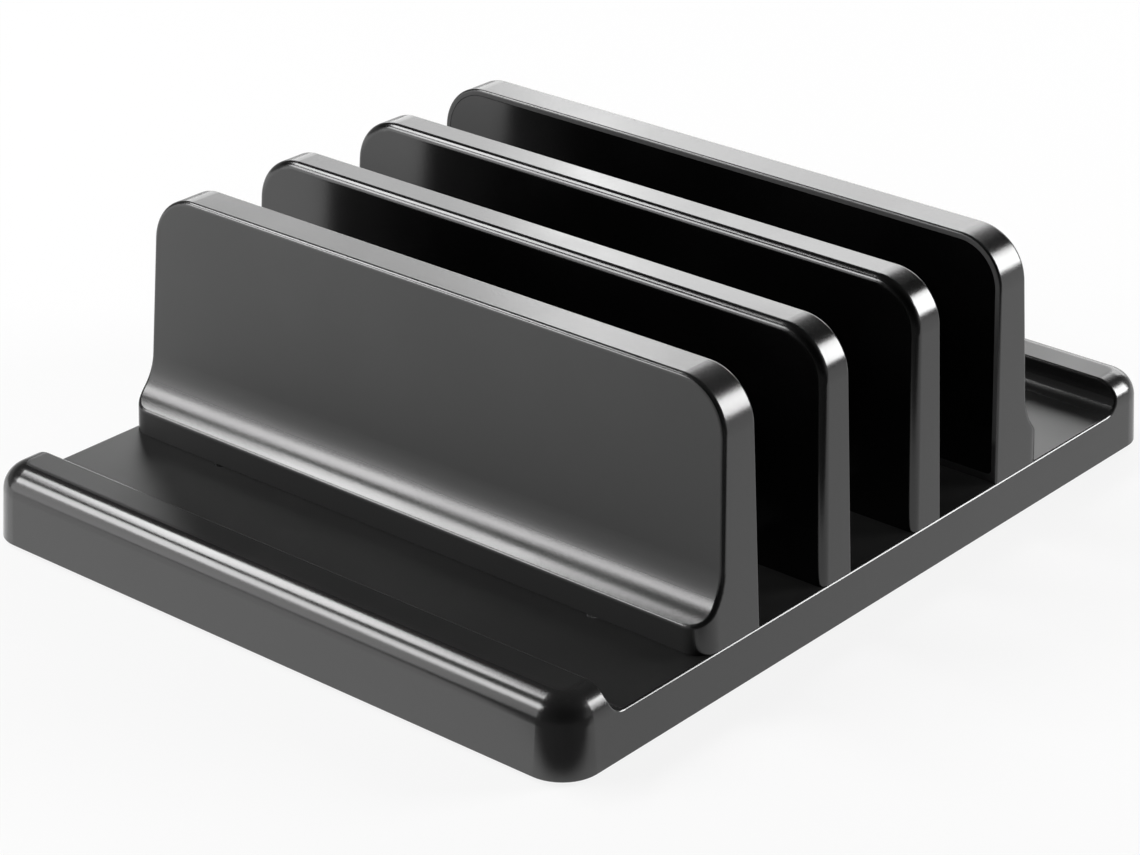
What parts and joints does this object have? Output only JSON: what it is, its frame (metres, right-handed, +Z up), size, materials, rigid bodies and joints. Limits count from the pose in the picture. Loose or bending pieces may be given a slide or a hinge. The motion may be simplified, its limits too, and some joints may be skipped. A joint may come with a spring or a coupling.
{
  "type": "vertical laptop stand",
  "caption": "Desk stand of black moulded plastic whose upright dividers slide along the base to hold laptops on edge, with a raised lip and a shallow tray at front and rear.",
  "frame": {"origin": "middle of the footprint, on the plane the pads stand on", "axes": "+X along the dividers to the right end, +Y from the front tray to the rear tray, +Z up"},
  "size_m": [0.1888, 0.2392, 0.0756],
  "materials": {
    "black_abs": "satin black ABS with a fine moulded grain",
    "silicone": "matte black silicone",
    "brass_insert": "plain turned brass",
    "screw_steel": "zinc plated, slightly dull",
    "washer_steel": "zinc plated, pressed"
  },
  "bodies": {
    "base": {"base_tray": "black_abs", "desk_pad_front_left": "silicone", "desk_pad_middle_left": "silicone", "desk_pad_rear_left": "silicone", "desk_pad_front_right": "silicone", "desk_pad_middle_right": "silicone", "desk_pad_rear_right": "silicone"},
    "divider_front": {"divider_front_shell": "black_abs", "divider_front_cover": "black_abs", "divider_front_inserts": "brass_insert", "divider_front_screws": "screw_steel", "divider_front_washers": "washer_steel"},
    "divider_second": {"divider_second_shell": "black_abs", "divider_second_cover": "black_abs", "divider_second_inserts": "brass_insert", "divider_second_screws": "screw_steel", "divider_second_washers": "washer_steel"},
    "divider_third": {"divider_third_shell": "black_abs", "divider_third_cover": "black_abs", "divider_third_inserts": "brass_insert", "divider_third_screws": "screw_steel", "divider_third_washers": "washer_steel"},
    "divider_rear": {"divider_rear_shell": "black_abs", "divider_rear_cover": "black_abs", "divider_rear_inserts": "brass_insert", "divider_rear_screws": "screw_steel", "divider_rear_washers": "washer_steel"}
  },
  "joints": [
    {"name": "front_divider_slide", "type": "slide", "parent": "base", "child": "divider_front", "axis": [0, 1, 0], "range_m": [-0.0095, 0.0105]},
    {"name": "second_divider_slide", "type": "slide", "parent": "base", "child": "divider_second", "axis": [0, 1, 0], "range_m": [-0.0105, 0.0115]},
    {"name": "third_divider_slide", "type": "slide", "parent": "base", "child": "divider_third", "axis": [0, 1, 0], "range_m": [-0.0115, 0.0105]},
    {"name": "rear_divider_slide", "type": "slide", "parent": "base", "child": "divider_rear", "axis": [0, 1, 0], "range_m": [-0.0105, 0.012]}
  ]
}
